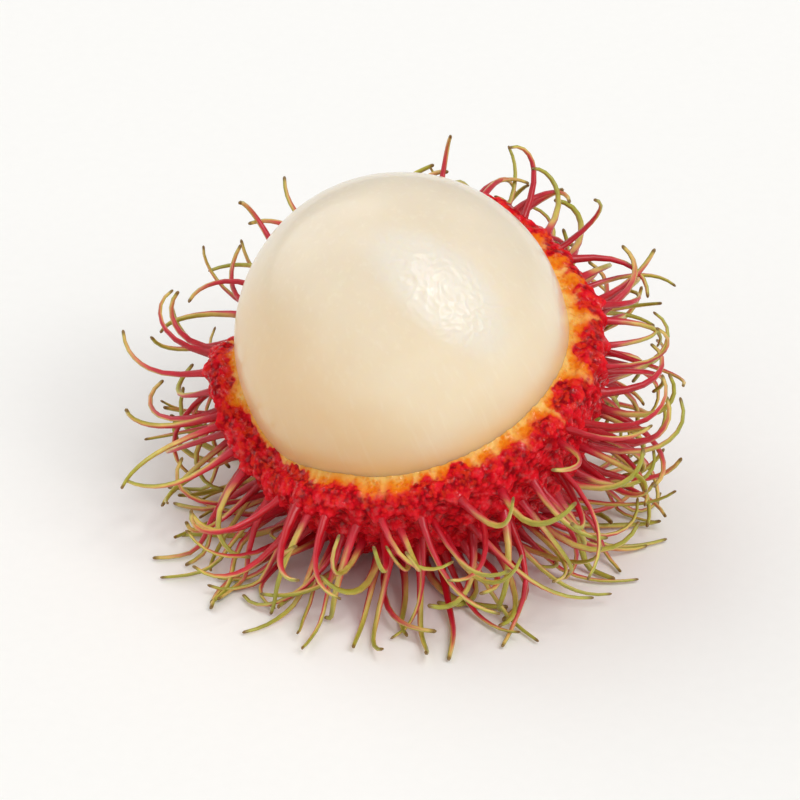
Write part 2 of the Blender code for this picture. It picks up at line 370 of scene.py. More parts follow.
@dataclass(frozen=True)
class HairGrowth:
    """The rule that the soft hairs grow by: a jittered spiral of roots, and one hooked path from each."""

    fruit: Fruit
    lattice_points: int = 700
    jitter: float = 0.2
    rim_margin: float = 1.1 * MM
    lowest_root: float = 1.1 * MM
    length: Span = (9.5 * MM, 13.0 * MM)
    underside_gain: float = 0.5
    root_depth: float = 1.3 * MM
    lean: Span = (math.radians(4.0), math.radians(26.0))
    curl: Span = (math.radians(65.0), math.radians(150.0))
    twist: float = math.radians(40.0)
    droop: float = math.radians(14.0)
    curl_power: float = 1.3
    curl_spread: float = 0.9
    steps: int = 24
    smoothing: int = 3
    ground_margin: float = 0.12 * MM
    spread_height: float = 9.0 * MM
    ground_spread: float = math.radians(62.0)
    lookahead: int = 4
    ground_rise: float = 0.2
    ground_turn: float = math.radians(14.0)
    skin_margin: float = 0.3 * MM
    root_share: float = 1.0 / 6.0
    radii: Pairs = ((0, 0.95 * MM), (0.1, 0.62 * MM), (0.35, 0.47 * MM), (0.75, 0.38 * MM), (1, 0.3 * MM))
    seed: int = 7318

    def radius(self, share: float) -> float:
        """Radius of a hair at a share of its length, wide at the root and blunt at the tip."""
        return float(np.interp(share, *zip(*self.radii)))

    def root(self, index: int) -> Vector | None:
        """Where a hair of the spiral is rooted.

        Args:
            index: place in the spiral, counted from the lower end.

        Returns:
            Unit direction from the centre, or None where the husk is torn off or lies on the ground.
        """
        fruit, rng = self.fruit, random.Random(self.seed + index)
        spacing = math.sqrt(4 * math.pi / self.lattice_points)
        along = 1.0 - (2 * index + 1) / self.lattice_points
        across = math.sqrt(1.0 - along * along)
        turn = index * math.pi * (3.0 - math.sqrt(5.0))
        side = fruit.axis.cross(UP).normalized()
        front = fruit.axis.cross(side)
        direction = side * (across * math.cos(turn)) + front * (across * math.sin(turn)) - fruit.axis * along
        shift = Vector((rng.gauss(0, 1), rng.gauss(0, 1), rng.gauss(0, 1)))
        direction = (direction + shift * (spacing * self.jitter)).normalized()
        room = fruit.rim_latitude(math.atan2(direction.y, direction.x)) - math.asin(direction.z)
        height = (fruit.centre + direction * fruit.skin.reach(direction, fruit.axis)).z
        if room * fruit.skin.radius < self.rim_margin or height < self.lowest_root:
            return None
        return direction

    def path(self, index: int, direction: Vector) -> Path:
        """One hair, from its sunk root to its hooked tip, clear of the ground and of the skin.

        Args:
            index: place in the spiral, which seeds the hair's own draws.
            direction: unit direction from the centre to the root.

        Returns:
            Points in metres, each with its share of the hair's length.
        """
        fruit, rng = self.fruit, random.Random(self.seed * 2 + index)
        normal = fruit.skin.normal(direction, fruit.axis)
        root = fruit.centre + direction * fruit.skin.reach(direction, fruit.axis)
        length = rng.uniform(*self.length) * (1.0 + self.underside_gain * max(0.0, -direction.z))
        bearing = rng.uniform(0, 2 * math.pi)
        side = normal.cross(UP).normalized()
        rise = side.cross(normal)
        bearings = (bearing, bearing + rng.gauss(0, self.curl_spread))
        lean_way, curl_way = (side * math.cos(b) + rise * math.sin(b) for b in bearings)
        curl = rng.uniform(*self.curl)
        twist = rng.uniform(-self.twist, self.twist)
        outward = Vector((direction.x, direction.y, 0.0)).normalized()
        crowding = max(0.0, 1.0 - root.z / self.spread_height)
        heading = turned(normal, lean_way, rng.uniform(*self.lean))
        heading = turned(heading, outward, crowding * self.ground_spread)
        step = length / self.steps
        spots = [root.copy()]
        for k in range(self.steps):
            share = (k + 0.5) / self.steps
            bend = curl * (self.curl_power + 1) * share**self.curl_power / self.steps
            heading = turned(heading, curl_way, bend)
            curl_way = turned(curl_way, -heading, bend)
            curl_way = turned(curl_way, heading.cross(curl_way), twist / self.steps)
            heading = turned(heading, -UP, self.droop * 2 * share / self.steps)
            if spots[-1].z + heading.z * step * self.lookahead < 0:
                heading = turned(heading, outward + UP * self.ground_rise, self.ground_turn)
            spots.append(self.clear_spot(spots[-1] + heading * step, share))
        for _ in range(self.smoothing):
            inner = [(a + b * 2 + c) / 4 for a, b, c in zip(spots, spots[1:], spots[2:])]
            spots[1:-1] = [self.clear_spot(s, (k + 1) / self.steps) for k, s in enumerate(inner)]
        shares = [k / self.steps for k in range(self.steps + 1)]
        return [(root - normal * self.root_depth, 0.0)] + list(zip(spots, shares))

    def clear_spot(self, spot: Vector, share: float) -> Vector:
        """The nearest place to a spot on a hair that is clear of the ground and of the skin.

        Args:
            spot: where the hair would pass.
            share: how far along the hair that is.

        Returns:
            Where it passes.
        """
        fruit, radius = self.fruit, self.radius(share)
        spot = Vector((spot.x, spot.y, max(spot.z, radius + self.ground_margin)))
        out = spot - fruit.centre
        direction = out.normalized()
        near = fruit.skin.reach(direction, fruit.axis)
        near += (radius + self.skin_margin) * min(1.0, share / self.root_share)
        return fruit.centre + direction * near if out.length < near else spot


def turned(vector: Vector, towards: Vector, angle: float) -> Vector:
    """Turns a unit vector towards another direction, in the plane of the two.

    Args:
        vector: the unit vector to turn.
        towards: the direction to turn it to.
        angle: how far, in radians.

    Returns:
        The turned unit vector.
    """
    sideways = towards - vector * towards.dot(vector)
    if sideways.length < 1e-6:
        return vector
    return (vector * math.cos(angle) + sideways.normalized() * math.sin(angle)).normalized()


# ---- finishes


def new_finish(name: str, *traits: Trait) -> tuple[Material, Node, partial, NodeSocket, list[NodeSocket]]:
    """Makes an empty material around one Principled shader.

    Args:
        name: the material's name, after what the real surface is.
        traits: the surface's own attributes that it reads.

    Returns:
        The material, its shader, add_node for its own tree, the piece's coordinates, and those attributes.
    """
    made = bpy.data.materials.new(name)
    made.use_nodes = True
    node = partial(add_node, made.node_tree)
    place = node("TexCoord", out="Object")
    values = [node("Attribute", out="Fac", attribute_name=trait.value) for trait in traits]
    return made, made.node_tree.nodes["Principled BSDF"], node, place, values


@dataclass(frozen=True)
class MoistAril:
    """Aril, the flesh round the seed: grown against the husk, so smooth, milky and wet.

    Light sinks a few millimetres in and comes back with a warmer tone, so its shade is soft and creamy. The
    wet coat of
    juice gives small sharp highlights, broken where the surface is crinkled. Light is also painted into its
    colour:
    bounce light from the husk low down, near the rim and on the side that the lamps miss, and a whitish
    highlight on the crinkled patch.
    """

    name: str = "moist_aril_flesh"
    # painted light by height over the flesh's own cream: golden bounce from the husk low down, paler where
    # light from above falls
    milk_and_painted_bounce: Stops = ((0.0, "#E4BE86"), (0.3, "#EACFA4"), (0.62, "#EAD9BA"), (1.0, "#E4D6BE"))
    cloud: str = "#F2E6D0"
    # near the rim: partly the clinging membrane's own colour, partly a painted glow of light bounced from the
    # husk
    membrane_and_painted_glow: str = "#EBC27A"
    # painted bounce light from the husk, on the side of the flesh that the lamps miss
    painted_side_bounce: str = "#E4B87A"
    # painted highlight: the whitish reflection of the softbox on the crinkled patch
    film: str = "#E8E2D6"
    vein: str = "#F7EFDC"
    deep_level: float = 8.0 * MM
    top_level: float = 38.0 * MM
    cloud_grain: float = 7.0 * MM
    vein_width: float = 0.7 * MM
    vein_length: float = 9.0 * MM
    film_grain: float = 1.3 * MM
    film_depth: float = 0.02 * MM
    depth_of_light: float = 3.2 * MM

    def make(self, fruit: Fruit) -> Material:
        """Builds the material.

        Args:
            fruit: gives the axis that the veins run along.

        Returns:
            The material.
        """
        traits = (Trait.RIM_DISTANCE, Trait.PAINTED_SIDE_BOUNCE, Trait.PAINTED_HIGHLIGHT)
        made, shader, node, place, (rim, side, film) = new_finish(self.name, *traits)
        # Painted light by height: golden bounce from the husk low down, paler where the light from above
        # falls, over the flesh's own cream.
        height = node("SeparateXYZ", (place,), "Z")
        level = node("MapRange", (height, self.deep_level, self.top_level), 0)
        body = node("ValToRGB", (level,), 0, stops=self.milk_and_painted_bounce)
        upright = fruit.axis.to_track_quat("Z", "Y").inverted().to_euler()
        on_axis = node("Mapping", {"Vector": place, "Rotation": upright}, 0)
        fine = (1 / self.vein_width, 1 / self.vein_width, 1 / self.vein_length)
        drawn_out = node("Mapping", {"Vector": on_axis, "Scale": fine}, 0)
        clouds, ripples, veins = (
            node("TexNoise", {"Vector": where, "Scale": scale, "Detail": detail}, "Fac")
            for where, scale, detail in (
                (place, 1 / self.cloud_grain, 3), (place, 1 / self.film_grain, 1), (drawn_out, 1, 2)
            )
        )
        # What drives each tint, between which values, from which strength to which, and the tint itself.
        for driver, limits, run, tint in (
            (clouds, (0.4, 0.7, 0.0, 0.35), "LINEAR", self.cloud),
            (veins, (0.55, 0.8, 0.0, 0.22), "LINEAR", self.vein),
            # near the rim: partly the clinging membrane's own colour, partly a painted glow of light bounced
            # from the husk
            (rim, (0.0, 4.5, 0.6, 0.0), "SMOOTHSTEP", self.membrane_and_painted_glow),
            # painted bounce light from the husk on the side that the lamps miss
            (side, (0.0, 1.0, 0.0, 0.5), "SMOOTHSTEP", self.painted_side_bounce),
            # painted highlight: the crinkled patch is whitened where the softbox reflects
            (film, (0.0, 1.0, 0.0, 0.7), "SMOOTHSTEP", self.film),
        ):
            share = node("MapRange", (driver, *limits), 0, interpolation_type=run)
            body = node("Mix", {0: share, 6: body, 7: linear(tint)}, 2, data_type="RGBA")
        film_shape = {"Height": ripples, "Distance": self.film_depth, "Strength": 0.6}
        feed(shader, {
            "Base Color": body,
            "Roughness": 0.36, "IOR": 1.38,
            "Subsurface Weight": 0.85, "Subsurface Radius": (1.0, 0.8, 0.5),
            "Subsurface Scale": self.depth_of_light,
            "Coat Weight": 0.55, "Coat Roughness": 0.12, "Coat IOR": 1.36,
            "Coat Normal": node("Bump", film_shape, 0),
        })
        return made


@dataclass(frozen=True)
class FleshyRind:
    """Ripe rind: grown warty and glossy outside, torn open at the rim, where it is wet and granular.

    From the flesh outwards the tear goes from pale yellow through orange to crimson. Outside, small beads of
    tissue sit side by side, with painted light on their tops and painted shade between them, and the juice on
    them sparkles.
    """

    name: str = "fleshy_red_rind"
    # top is painted light on the highest beads and warts, pit is painted shade in the hollows between them;
    # pit also tints the random dark mottle
    top: str = "#F02A38"
    body: str = "#D20C1C"
    pit: str = "#8A0410"
    tear: Stops = ((0, "#EE9A2C"), (0.16, "#EC861A"), (0.5, "#E86812"), (0.66, "#E2441A"), (0.84, "#D81C1C"))
    edge: str = "#F5C878"
    flush: str = "#E63A1C"
    flush_grain: float = 0.7 * MM
    fibre: str = "#F7CE74"
    mottle_grain: float = 1.3 * MM
    bead: float = 0.56 * MM
    bead_depth: float = 0.08 * MM
    bead_share: float = 0.3
    bead_fray: float = 0.18
    juice_grain: float = 0.28 * MM
    juice_depth: float = 0.09 * MM
    wet_grain: float = 0.8 * MM
    depth_of_light: float = 0.8 * MM

    def make(self) -> Material:
        """Builds the material.

        Returns:
            The material.
        """
        traits = (Trait.WALL, Trait.RELIEF, Trait.STREAK, Trait.PARTING)
        made, shader, node, place, values = new_finish(self.name, *traits)
        from_flesh, relief, streak, fibres = values
        mottle, flecks, ripples, patches = (
            node("TexNoise", {"Vector": place, "Scale": 1 / grain, "Detail": detail}, "Fac")
            for grain, detail in (
                (self.mottle_grain, 3), (self.flush_grain, 2), (self.juice_grain, 2), (self.wet_grain, 2)
            )
        )
        packed = {"Vector": place, "Scale": 1 / self.bead, "Smoothness": 0.3}
        apart = node("TexVoronoi", packed, "Distance", feature="SMOOTH_F1")
        # Each is driven by one value, between two of its values, from one strength to another.
        beads, dark, red, near, pale, wet = (
            node("MapRange", limits, 0, interpolation_type="SMOOTHSTEP")
            for limits in (
                (apart, 0.12, 0.6, 1.0, 0.0), (mottle, 0.46, 0.72, 0.0, 0.5), (flecks, 0.45, 0.65),
                (from_flesh, 1.0, 5.0, 0.75, 0.08), (streak, 1.3, 2.8, 0.3, 0.9),
                (patches, 0.5, 0.62, 0.05, 1.0),
            )
        )
        # Painted light and shade: the red is lighter the higher the beads and warts stand, and darker in the
        # hollows.
        height = node("Mix", {0: self.bead_share, 2: relief, 3: beads}, 0, data_type="FLOAT")
        skin = node("ValToRGB", (height,), 0, stops=((0.05, self.pit), (0.36, self.body), (0.85, self.top)))
        flush = node("Math", (red, near), 0, operation="MULTIPLY")
        ragged = node("Mix", {0: self.bead_fray, 2: mottle, 3: beads}, 0, data_type="FLOAT")
        depth = node("Math", (from_flesh, streak), 0, operation="DIVIDE")
        uneven = node("Math", (ragged, depth), 0, operation="ADD")
        course = node("MapRange", (uneven, 0.5, 1.8), 0, interpolation_type="SMOOTHSTEP")
        tear = node("ValToRGB", (course,), 0, stops=self.tear)
        frayed = node("Math", (ragged, 2.0, from_flesh), 0, operation="MULTIPLY_ADD")
        lip = node("MapRange", (frayed, 0.85, 1.7, 1.0, 0.0), 0, interpolation_type="SMOOTHSTEP")
        lined = node("Math", (lip, pale), 0, operation="MULTIPLY")
        for share, tint in ((dark, self.pit), (flush, self.flush)):
            skin = node("Mix", {0: share, 6: skin, 7: linear(tint)}, 2, data_type="RGBA")
        for share, tint in ((fibres, self.fibre), (lined, self.edge)):
            tear = node("Mix", {0: share, 6: tear, 7: linear(tint)}, 2, data_type="RGBA")
        outside = node("MapRange", (course, 0.64, 0.96), 0, interpolation_type="SMOOTHSTEP")
        beaded = node("Bump", {"Height": beads, "Distance": self.bead_depth}, 0)
        juicy = node("Bump", {"Height": ripples, "Distance": self.juice_depth, "Normal": beaded}, 0)
        feed(shader, {
            "Base Color": node("Mix", {0: outside, 6: tear, 7: skin}, 2, data_type="RGBA"),
            "Roughness": 0.5, "IOR": 1.4, "Specular IOR Level": 0.04, "Normal": juicy,
            "Subsurface Weight": 0.25, "Subsurface Radius": (1.0, 0.3, 0.12),
            "Subsurface Scale": self.depth_of_light,
            "Coat Weight": wet, "Coat Roughness": 0.03, "Coat IOR": 1.42, "Coat Normal": juicy,
        })
        return made


@dataclass(frozen=True)
class SoftHair:
    """Spintern, a soft fleshy hair of the rind: waxy and smooth, red at the root and green where it hooks.

    It shines along its back, lets a little light through, and ends in a dry brown point.
    """

    name: str = "soft_spintern"
    course: Stops = (
        (0.0, "#BE0A1A"), (0.22, "#CC1A30"), (0.4, "#D23E48"), (0.53, "#DA8258"), (0.65, "#E2BC6A"),
        (0.78, "#D2C05A"), (1.0, "#AEAA3E"),
    )
    dry_tip: str = "#86682E"
    dry_from: float = 0.965
    ridge_shift: float = 0.34
    mottle_grain: float = 1.1 * MM
    ripple_depth: float = 0.08 * MM
    depth_of_light: float = 0.5 * MM

    def make(self) -> Material:
        """Builds the material.

        Returns:
            The material.
        """
        traits = (Trait.ALONG, Trait.TONE, Trait.RIDGE)
        made, shader, node, place, (along, tone, ridge) = new_finish(self.name, *traits)
        ripening = node("Math", (along, tone), 0, operation="POWER")
        limits = (along, 0.03, 0.28, 0.0, self.ridge_shift)
        stripe = node("MapRange", limits, 0, interpolation_type="SMOOTHSTEP")
        ripe = node("Math", (ridge, stripe, ripening), 0, operation="MULTIPLY_ADD", use_clamp=True)
        course = node("ValToRGB", (ripe,), 0, stops=self.course)
        dry = node("MapRange", (along, self.dry_from, 1.0), 0)
        tipped = node("Mix", {0: dry, 6: course, 7: linear(self.dry_tip)}, 2, data_type="RGBA")
        mottle = node("TexNoise", {"Vector": place, "Scale": 1 / self.mottle_grain, "Detail": 2.0}, "Fac")
        shade = node("MapRange", (mottle, 0.3, 0.7, 0.82, 1.0), 0)
        ripples = {"Height": mottle, "Distance": self.ripple_depth, "Strength": 0.5}
        feed(shader, {
            "Base Color": node("HueSaturation", {"Color": tipped, "Value": shade}, 0),
            "Normal": node("Bump", ripples, 0),
            "Roughness": 0.38, "IOR": 1.42,
            "Subsurface Weight": 0.15, "Subsurface Radius": (1.0, 0.4, 0.15),
            "Subsurface Scale": self.depth_of_light,
            "Coat Weight": 0.25, "Coat Roughness": 0.18,
        })
        return made


@dataclass(frozen=True)
class MattPaper:
    """Heavy matt studio paper: nearly white, with a faint tooth that keeps its shadows soft."""

    name: str = "matt_studio_paper"
    white: str = "#F6F5F2"
    shade: str = "#F5F4F1"
    tooth: float = 1.5 * MM  # real paper's is finer; drawn as coarse as it needs to show

    def make(self) -> Material:
        """Builds the material.

        Returns:
            The material.
        """
        made, shader, node, place, _ = new_finish(self.name)
        tooth = node("TexNoise", {"Vector": place, "Scale": 1 / self.tooth, "Detail": 2.0}, "Fac")
        paper = node("ValToRGB", (tooth,), 0, stops=((0.3, self.shade), (0.7, self.white)))
        feed(shader, {"Base Color": paper, "Roughness": 0.9, "Specular IOR Level": 0.1})
        return made


# ---- pieces


def add_piece(piece: Object, node: str, finish: Material) -> None:
    """Dresses a piece, hangs it under the root body, and hides the solid that it stands for.

    Args:
        piece: the finished mesh object.
        node: the solid that it replaces.
        finish: its material.
    """
    piece.data.materials.clear()
    piece.data.materials.append(finish)
    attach(piece, "root")
    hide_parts(node)
    log.info("%s: %d vertices, %d faces", piece.name, len(piece.data.vertices), len(piece.data.polygons))


@dataclass
class FleshBall:
    """The whole ball of flesh, slightly lumpy, with crinkles where it dries first, on its upper front; a
    whitish highlight is painted on that patch.
    """

    fruit: Fruit
    finish: MoistAril = MoistAril()
    subdivisions: int = 7
    lump_grain: float = 9.0 * MM
    lump_height: float = 0.05 * MM
    crinkle_grains: Pairs = ((1.2 * MM, 0.05 * MM), (0.7 * MM, 0.035 * MM))
    crinkle_sharpness: float = 2.2
    crinkle_stretch: float = 1.25
    crinkle_wander: float = 0.75 * MM
    wander_grain: float = 2.5 * MM
    wander_shifts: Triple = (3.1 * MM, 5.3 * MM, 7.7 * MM)
    patch_centre: Triple = (0.24, -0.66, 0.72)
    patch_run: Triple = (0.72, -0.26, -0.64)
    patch_reach: Span = (0.68, 0.34)
    patch_fade: Span = (0.4, 1.0)
    finer_from: float = 0.05
    # The side of the flesh where bounce light is painted, and how far round it fades in.
    painted_bounce_side: Triple = (-0.75, -0.35, -0.55)
    painted_bounce_fade: Span = (0.0, 0.95)

    def patch_place(self, directions: Array) -> tuple[Array, Array, Array]:
        """Where each direction lies on the crinkled patch.

        Args:
            directions: unit directions from the centre.

        Returns:
            How far along the patch and across it, in radii, and how far in it from 0 outside to 1.
        """
        middle, run = Vector(self.patch_centre).normalized(), Vector(self.patch_run)
        run = (run - middle * run.dot(middle)).normalized()
        along = directions @ np.array(run)
        across = directions @ np.array(middle.cross(run))
        spot = np.hypot(along / self.patch_reach[0], across / self.patch_reach[1])
        facing = directions @ np.array(middle) > 0
        return along, across, (1.0 - smooth_step(spot, *self.patch_fade)) * facing

    def crinkles(self, directions: Array) -> Array:
        """Height of the crinkles: short ridges along a slanting patch, fading out round it.

        Args:
            directions: unit directions from the centre.

        Returns:
            The height at each, in metres.
        """
        along, across, depth = self.patch_place(directions)
        height = np.zeros(len(directions))
        for grain, rise in self.crinkle_grains:
            flat = np.stack((along / self.crinkle_stretch, across, np.full_like(along, grain)), axis=1)
            flat *= self.fruit.flesh.radius
            wander = [soft_noise(flat + shift, self.wander_grain) for shift in self.wander_shifts]
            flat += self.crinkle_wander * np.stack(wander, axis=1)
            height += rise * (1.0 - self.crinkle_sharpness * np.abs(soft_noise(flat, grain)))
        return height * depth

    def make(self) -> None:
        """Builds and dresses the ball, with a finer mesh where it is crinkled."""
        bm = bmesh.new()
        bmesh.ops.create_icosphere(bm, subdivisions=self.subdivisions, radius=1.0)
        patch = self.patch_place(np.array([vertex.co for vertex in bm.verts]))[2]
        finer = [edge for edge in bm.edges if min(patch[v.index] for v in edge.verts) > self.finer_from]
        bmesh.ops.subdivide_edges(bm, edges=finer, cuts=1)
        bmesh.ops.triangulate(bm, faces=bm.faces)
        bm.verts.index_update()
        directions = np.array([vertex.co.normalized() for vertex in bm.verts])
        faces = [[vertex.index for vertex in face.verts] for face in bm.faces]
        bm.free()
        points = self.fruit.from_centre(directions, self.fruit.flesh)
        height = soft_noise(points, self.lump_grain) * self.lump_height + self.crinkles(directions)
        facing = directions @ np.array(Vector(self.painted_bounce_side).normalized())
        traits = {
            Trait.RIM_DISTANCE: self.fruit.above_rim(directions) * self.fruit.flesh.radius / MM,
            Trait.PAINTED_HIGHLIGHT: self.patch_place(directions)[2],
            Trait.PAINTED_SIDE_BOUNCE: smooth_step(facing, *self.painted_bounce_fade),
        }
        ball = mesh_piece("flesh_ball", points + directions * height[:, None], faces, traits)
        add_piece(ball, "flesh", self.finish.make(self.fruit))


@dataclass
class HuskCup:
    """The lower husk: warty outside, with a swollen base under every hair, and torn open along its rim."""

    growth: HairGrowth
    roots: list[Vector]  # where the hairs grow from the skin
    finish: FleshyRind = FleshyRind()
    columns: int = 640
    outer_rows: int = 112
    rim_rows: int = 24
    inner_rows: int = 7
    row_crowding: float = 0.35
    rim_drop: float = 0.9 * MM
    rim_rounding: float = 0.42
    dip: float = 0.3 * MM
    dip_span: Span = (0.35, 0.85)
    lip: float = 0.26 * MM
    lip_from: float = 0.8
    rim_overlap: float = 1.5  # how far the rim reaches in, in widths of the gap round the flesh
    tear_waves: Pairs = ((1.0, 1.9 * MM), (0.6, 1.9 * MM / 2.7))
    tear_depth: float = 0.34 * MM
    tear_from: float = 0.85  # share of the way up to the rim where the skin starts to be ragged
    inner_calm: float = 0.6  # how much less ragged the rim is farther in
    calm_span: Span = (0.15, 0.5)
    wart_grain: float = 1.3 * MM
    wart_height: float = 0.26 * MM
    granule_grain: float = 0.64 * MM
    granule_height: float = 0.14 * MM
    torn_warts: float = 0.2  # how much of a wart is left in the tear
    rim_granules: float = 0.8  # how much higher granules are by the rim
    rim_swell: float = 0.8
    relief_shares: Triple = (0.62, 0.38, 0.3)
    fibre_count: int = 42
    fibre_jitter: float = 0.45
    fibre_width: float = 0.4 * MM
    fibre_widths: Span = (0.6, 1.5)
    fibre_strengths: Span = (0.1, 0.7)
    base_height: float = 1.0 * MM
    base_radius: float = 1.15 * MM
    streak_waves: Pairs = ((1.8, 2.8 * MM), (0.5, 0.9 * MM))
    streak_mean: float = 1.1
    streak_least: float = 0.2
    # Bearing in degrees, and how many millimetres out the tear stays pale there.
    pale_reach: Pairs = (
        (-172.0, 1.3), (-162.0, 0.5), (-150.0, 0.3), (-134.0, 0.75), (-116.0, 1.1), (-92.0, 1.4),
        (-60.0, 1.3), (-32.0, 1.5), (-6.0, 2.1), (19.0, 2.1), (38.0, 1.7), (56.0, 1.3),
        (90.0, 1.2), (120.0, 1.2), (148.0, 1.1), (172.0, 1.5),
    )

    @cached_property
    def bearing(self) -> Array:
        """Compass bearing of each column, in radians."""
        return 2 * math.pi * np.arange(self.columns) / self.columns

    @cached_property
    def ring(self) -> Array:
        """A level ring of points, one for each column, that the noise of the tear is taken on."""
        x, y = np.cos(self.bearing), np.sin(self.bearing)
        return np.stack((x, y, np.zeros_like(x)), axis=1) * self.growth.fruit.skin.radius

    @cached_property
    def rows(self) -> tuple[Array, Array, Array]:
        """Rows of the surface, from the lower pole over the torn rim and back down inside.

        Returns:
            For each row its share of the way up to the rim, its place in the wall (0 on the skin, 1 inside)
            and its height over the rim line in metres.
        """
        climb = np.linspace(0.0, 1.0, self.outer_rows + 1)[1:]
        outer = climb * (1.0 + self.row_crowding - self.row_crowding * climb)
        across = np.linspace(0.0, 1.0, self.rim_rows + 1)[1:]
        inner = np.linspace(1.0, 0.0, self.inner_rows + 1)[1:-1]
        rounding = -self.rim_drop * np.clip(1.0 - across / self.rim_rounding, 0.0, 1.0) ** 2
        start, end = self.dip_span
        lip = self.lip * smooth_step(across, self.lip_from, 1.0)
        dip = -self.dip * np.sin(np.pi * np.clip((across - start) / (end - start), 0.0, 1.0))
        # The rim ends a little inside the flesh, so that no gap shows between the two.
        touch = 1.0 + self.rim_overlap * self.growth.fruit.fit_gap / self.growth.fruit.wall
        share = (outer, np.ones(self.rim_rows), inner)
        wall = (np.zeros(self.outer_rows), across * touch, np.ones(len(inner)))
        rise = (np.full(self.outer_rows, -self.rim_drop), rounding + dip + lip, np.zeros(len(inner)))
        return np.concatenate(share), np.concatenate(wall), np.concatenate(rise)

    def partings(self) -> Array:
        """Pale fibres of the torn rim.

        Returns:
            How strongly a fibre shows in each column, from 0 to 1.
        """
        rng = random.Random(self.growth.seed)
        shown = np.zeros_like(self.bearing)
        for k in range(self.fibre_count):
            place = 2 * math.pi * (k + rng.uniform(-self.fibre_jitter, self.fibre_jitter)) / self.fibre_count
            apart = (self.bearing - place + math.pi) % (2 * math.pi) - math.pi
            width = self.fibre_width * rng.uniform(*self.fibre_widths) / self.growth.fruit.skin.radius
            strength = rng.uniform(*self.fibre_strengths)
            shown = np.maximum(shown, strength * np.exp(-((apart / width) ** 2)))
        return shown

    def base_swell(self, points: Array) -> Array:
        """Height of the fleshy base under each hair.

        Args:
            points: places on the plain skin.

        Returns:
            The height at each point, in metres.
        """
        tree = kdtree.KDTree(len(self.roots))
        for k, root in enumerate(self.roots):
            tree.insert(root, k)
        tree.balance()
        distance = np.array([tree.find(Vector(point))[2] for point in points])
        return self.base_height * np.exp(-((distance / self.base_radius) ** 2))

    def plain_form(self) -> tuple[Array, Array]:
        """Lays the rows round the fruit, up to the ragged rim.

        Returns:
            Points in metres, row by row, and the unit directions to them from the centre.
        """
        fruit, bearing, (share, wall, rise) = self.growth.fruit, self.bearing, self.rows
        tear = waves(self.ring, self.tear_waves)
        ragged = smooth_step(share, self.tear_from, 1.0)
        ragged *= 1.0 - self.inner_calm * smooth_step(wall, *self.calm_span)
        rise = rise[:, None] + tear * self.tear_depth * ragged[:, None]
        top = fruit.rim_at(bearing) + rise / fruit.skin.radius
        latitude = (math.pi / 2 + top) * share[:, None] - math.pi / 2
        level = np.cos(latitude)
        directions = np.stack((level * np.cos(bearing), level * np.sin(bearing), np.sin(latitude)), axis=2)
        return fruit.in_wall(directions, wall[:, None]).reshape(-1, 3), directions.reshape(-1, 3)

    def swollen(self, points: Array, directions: Array) -> tuple[Array, Array]:
        """Raises the warts and granules, and the fleshy base under every hair.

        Args:
            points: points of the plain form.
            directions: unit directions to them from the centre.

        Returns:
            The raised points, and the relief at each, from 0 in a pit to 1 on a wart.
        """
        share, wall, _ = self.rows
        # A row's place in the wall tells skin, tear and inside apart; its share of the way up tells the rim.
        outside, torn, near_rim, inside = (
            np.repeat(values, self.columns)
            for values in (
                1.0 - smooth_step(wall, 0.0, 0.5),
                smooth_step(wall, 0.05, 0.3) * (1.0 - smooth_step(wall, 1.0, 1.05)),
                smooth_step(share, 0.9, 1.0),
                np.arange(len(share)) >= self.outer_rows + self.rim_rows,
            )
        )
        warts, granules = pebbles(points, self.wart_grain), pebbles(points, self.granule_grain)
        swell = self.base_swell(points) * outside
        height = warts * self.wart_height * (outside + self.torn_warts * torn)
        height += granules * self.granule_height * (1.0 + self.rim_granules * near_rim)
        height = np.where(inside, 0.0, height + swell)
        raised = points + directions * (height * outside)[:, None]
        raised[:, 2] += height * (1.0 - outside) * self.rim_swell
        raised[:, 2] = np.maximum(raised[:, 2], 0.0)
        of_warts, of_granules, of_bases = self.relief_shares
        relief = of_warts * warts + of_granules * granules + of_bases * swell / self.base_height
        return raised, np.clip(relief, 0.0, 1.0)

    def tear_course(self) -> dict[Trait, Array]:
        """What the finish needs to know to colour the tear.

        Returns:
            Values for each point, by attribute.
        """
        fruit, (share, wall, _) = self.growth.fruit, self.rows
        depth_out = (1.0 - wall) * fruit.wall / MM + fruit.fit_gap / MM
        run_down = (1.0 - share) * (math.pi / 2) * fruit.skin.radius / MM + np.where(wall > 0, 0.0, 0.5)
        reach = np.interp(np.degrees(self.bearing), *zip(*self.pale_reach), period=360.0)
        streak = reach * np.maximum(self.streak_mean + waves(self.ring, self.streak_waves), self.streak_least)
        return {
            Trait.WALL: np.repeat(depth_out + run_down, self.columns),
            Trait.STREAK: np.tile(streak, len(share)),
            Trait.PARTING: np.tile(self.partings(), len(share)),
        }

    def faces(self) -> list[tuple[int, ...]]:
        """Faces of the closed surface: quads between rows and a fan at each pole.

        Returns:
            Vertex numbers of each face; the two poles are the last vertices.
        """
        n = self.columns
        outer_pole = len(self.rows[0]) * n
        last, inner_pole = outer_pole - n, outer_pole + 1
        sides = [(k, (k + 1) % n) for k in range(n)]
        made = [(a + k, a + m, a + n + m, a + n + k) for a in range(0, last, n) for k, m in sides]
        for k, m in sides:
            made += [(k, outer_pole, m), (last + k, last + m, inner_pole)]
        return made

    def make(self) -> None:
        """Builds and dresses the husk."""
        raised, relief = self.swollen(*self.plain_form())
        traits = self.tear_course() | {Trait.RELIEF: relief}
        # The poles are out of sight, so plain skin will do there.
        for trait, at_pole in zip(traits, (9.0, 1.0, 0.0, 0.5)):
            traits[trait] = np.append(traits[trait], (at_pole, at_pole))
        poles = self.growth.fruit.in_wall(np.array([[0.0, 0.0, -1.0]] * 2), np.array([0.0, 1.0]))
        poles[0, 2] = 0.0
        piece = mesh_piece("husk_cup", np.vstack((raised, poles)), self.faces(), traits)
        add_piece(piece, "husk", self.finish.make())


